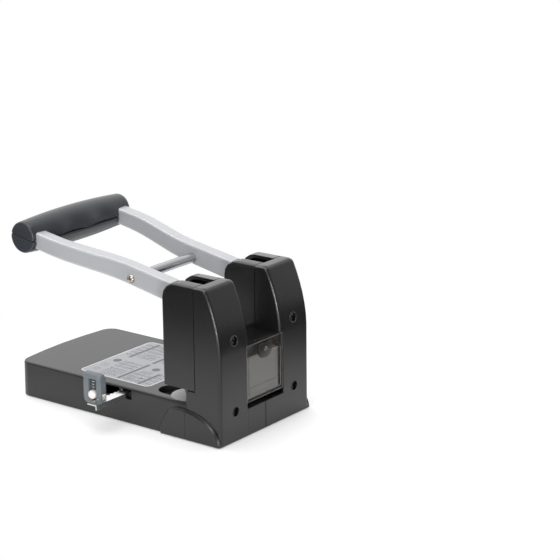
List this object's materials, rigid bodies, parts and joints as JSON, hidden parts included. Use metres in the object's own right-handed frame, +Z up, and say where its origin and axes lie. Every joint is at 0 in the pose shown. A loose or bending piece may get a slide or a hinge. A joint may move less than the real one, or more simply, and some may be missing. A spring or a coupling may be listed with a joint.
{
  "type": "two-hole lever punch",
  "caption": "Heavy-duty two-hole paper punch: flat platform, twin towers with hollow punches, long lever with a bar grip, sliding side guide and chip bin with smoked window",
  "frame": {"origin": "on the resting plane, midway between the axes of the two punches", "axes": "+X across the machine towards the side that carries the paper guide, +Y from the operator to the rear face, +Z up"},
  "size_m": [0.1625, 0.2358, 0.1625],
  "materials": {
    "housing_black": "fine-grained semi-gloss moulding",
    "underside_plastic": "plain moulded plastic",
    "mat_rubber": "smooth rubber",
    "plate_silver": "printed silver foil on a thin plate",
    "screw_black": "blackened steel",
    "screw_zinc": "bright zinc plate",
    "frame_steel": "plain zinc-plated steel",
    "ground_steel": "ground and hardened",
    "disc_plastic": "smooth grey plastic",
    "spring_steel": "drawn spring wire",
    "arm_silver": "satin silver",
    "grip_slate": "soft-touch moulding",
    "rail_nickel": "bright nickel plate",
    "stop_grey": "smooth moulding",
    "button_ivory": "smooth moulding",
    "window_smoke": "smoked transparent moulding",
    "box_grey": "plain moulded plastic"
  },
  "bodies": {
    "body": {"base_housing": "housing_black", "bottom_cover": "underside_plastic", "rubber_mat": "mat_rubber", "label_plate": "plate_silver", "rear_cover_left": "housing_black", "rear_cover_right": "housing_black", "front_shell_left": "housing_black", "front_shell_right": "housing_black", "bridge_cover": "housing_black", "cover_screws": "screw_black", "c_frame_left": "frame_steel", "c_frame_right": "frame_steel", "pivot_shafts": "ground_steel", "guide_block_left": "frame_steel", "guide_block_right": "frame_steel", "anvil_blocks": "frame_steel", "return_spring_left": "spring_steel", "return_spring_right": "spring_steel"},
    "lever": {"lever_arm_left": "arm_silver", "lever_arm_right": "arm_silver", "crank_plates_left": "frame_steel", "crank_plates_right": "frame_steel", "drive_pins": "ground_steel", "cross_rod": "arm_silver", "rod_screws": "screw_zinc", "grip_tube": "frame_steel", "grip_upper": "grip_slate", "grip_lower": "grip_slate", "grip_screws": "screw_black"},
    "punch_left": {"punch_tube_left": "ground_steel", "punch_head_left": "frame_steel"},
    "punch_right": {"punch_tube_right": "ground_steel", "punch_head_right": "frame_steel"},
    "disc_left": {"cutting_disc_left": "disc_plastic"},
    "disc_right": {"cutting_disc_right": "disc_plastic"},
    "rail": {"guide_rail": "rail_nickel"},
    "stop": {"guide_stop": "stop_grey", "button_spring": "spring_steel"},
    "button": {"guide_button": "button_ivory"},
    "chip_bin": {"window_cover": "window_smoke", "chip_box": "box_grey", "bin_pull": "housing_black", "pull_screw": "screw_zinc"}
  },
  "joints": [
    {"name": "lever_pivot", "type": "hinge", "parent": "body", "child": "lever", "pos_m": [0, 0.01632, 0.1135], "axis": [-1, 0, 0], "range_deg": [0, 65]},
    {"name": "punch_left_slide", "type": "slide", "parent": "body", "child": "punch_left", "axis": [0, 0, 1], "range_m": [0, 0.0183], "deforming": ["return_spring_left"]},
    {"name": "punch_right_slide", "type": "slide", "parent": "body", "child": "punch_right", "axis": [0, 0, 1], "range_m": [0, 0.0183], "deforming": ["return_spring_right"]},
    {"name": "disc_left_turn", "type": "hinge", "parent": "body", "child": "disc_left", "pos_m": [-0.04, 0, 0.027], "axis": [0, 0, 1], "continuous": true},
    {"name": "disc_right_turn", "type": "hinge", "parent": "body", "child": "disc_right", "pos_m": [0.04, 0, 0.027], "axis": [0, 0, 1], "continuous": true},
    {"name": "rail_slide", "type": "slide", "parent": "body", "child": "rail", "axis": [1, 0, 0], "range_m": [-0.011, 0.05]},
    {"name": "stop_slide", "type": "slide", "parent": "rail", "child": "stop", "axis": [1, 0, 0], "range_m": [-0.004, 0.014]},
    {"name": "button_lift", "type": "slide", "parent": "stop", "child": "button", "axis": [0, 0, 1], "range_m": [0, 0.004], "stiffness_N_per_m": 150, "springref_m": -0.006, "deforming": ["button_spring"]},
    {"name": "bin_slide", "type": "slide", "parent": "body", "child": "chip_bin", "axis": [0, 1, 0], "range_m": [0, 0.03]}
  ],
  "couplings": [
    {"joint": "punch_left_slide", "follows": "lever_pivot", "m_per_rad": 0.016103},
    {"joint": "punch_right_slide", "follows": "lever_pivot", "m_per_rad": 0.016103}
  ]
}
